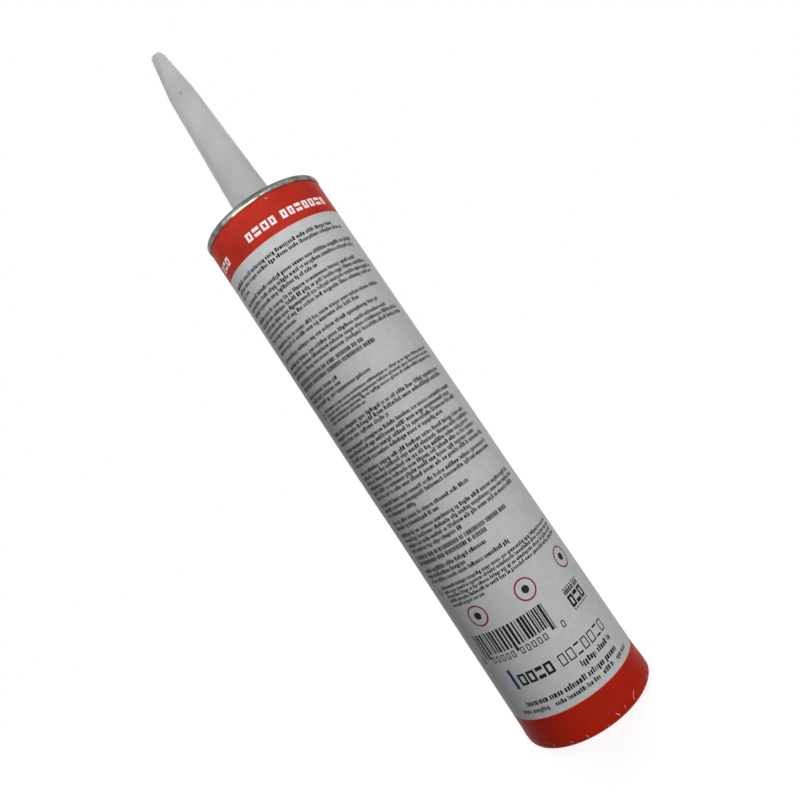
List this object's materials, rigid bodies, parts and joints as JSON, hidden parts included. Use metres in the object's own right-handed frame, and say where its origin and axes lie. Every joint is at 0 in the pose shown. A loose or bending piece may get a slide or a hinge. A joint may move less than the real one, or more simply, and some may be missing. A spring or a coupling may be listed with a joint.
{
  "type": "caulk tube",
  "caption": "Caulk cartridge: board tube with rolled rear edge, crimped tin front end, tapered closed nozzle, sealant fill and a plunger that slides along the bore.",
  "frame": {"origin": "middle of the rolled rear edge, on the surface that the cartridge stands on", "axes": "+Z along the tube's axis towards the nozzle's tip, -Y towards the middle of the printed side"},
  "size_m": [0.0504, 0.0504, 0.2956],
  "materials": {
    "board": "wound grey-brown board, matt",
    "label": "satin light grey print with red bands at both ends",
    "tinplate": "dull tarnished tinplate, worn bright on the rim",
    "nozzle_plastic": "pale grey translucent moulded polyethylene, satin",
    "foil": "smooth thin foil",
    "sealant": "smooth uncured paste",
    "plunger_tin": "bright drawn tinplate"
  },
  "bodies": {
    "cartridge": {"barrel_tube": "board", "printed_label": "label", "front_end": "tinplate", "nozzle": "nozzle_plastic", "foil_seal": "foil", "sealant": "sealant"},
    "piston": {"plunger": "plunger_tin"}
  },
  "joints": [
    {"name": "plunger_slide", "type": "slide", "parent": "cartridge", "child": "piston", "axis": [0, 0, 1], "range_m": [0, 0.1715], "deforming": ["sealant"]}
  ]
}
